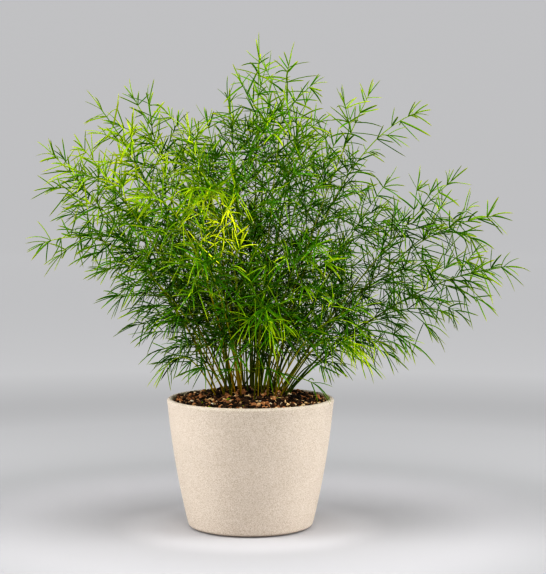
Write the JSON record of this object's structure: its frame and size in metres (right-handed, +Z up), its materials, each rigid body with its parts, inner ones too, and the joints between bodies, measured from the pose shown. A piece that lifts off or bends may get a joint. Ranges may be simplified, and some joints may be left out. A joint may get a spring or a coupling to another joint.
{
  "type": "potted sprengeri fern",
  "caption": "Bushy potted fern: thin leafy stems with fine needle-like leaves fan out of soil in a plain tapered beige pot that stands on its flat base.",
  "frame": {"origin": "middle of the pot's flat underside", "axes": "+Z up along the pot's axis, -Y towards the front of the plant, +X to its right as seen from the front"},
  "size_m": [0.4572, 0.3613, 0.442],
  "materials": {
    "pot": "matt, finely speckled stoneware",
    "soil": "dark crumbly bark and peat",
    "foliage": "green needles and stems with a slight sheen",
    "young_foliage": "yellow-green young needles and stems"
  },
  "bodies": {
    "root": {"pot": "pot", "soil": "soil", "stem_01": "foliage", "stem_02": "foliage", "stem_03": "foliage", "stem_04": "foliage", "stem_05": "foliage", "stem_06": "foliage", "stem_07": "foliage", "stem_08": "foliage", "stem_09": "foliage", "stem_10": "foliage", "stem_11": "foliage", "stem_12": "foliage", "stem_13": "foliage", "stem_14": "foliage", "stem_15": "foliage", "stem_16": "foliage", "stem_17": "foliage", "stem_18": "foliage", "stem_19": "foliage", "stem_20": "foliage", "stem_21": "foliage", "stem_22": "foliage", "stem_23": "foliage", "stem_24": "foliage", "stem_25": "foliage", "stem_26": "young_foliage", "stem_27": "young_foliage", "stem_28": "foliage", "stem_29": "foliage", "stem_30": "young_foliage", "stem_31": "foliage", "stem_32": "foliage", "stem_33": "foliage", "stem_34": "foliage", "stem_35": "foliage", "stem_36": "foliage", "stem_37": "foliage", "stem_38": "foliage", "stem_39": "foliage", "stem_40": "foliage", "stem_41": "foliage", "stem_42": "foliage"}
  },
  "joints": []
}
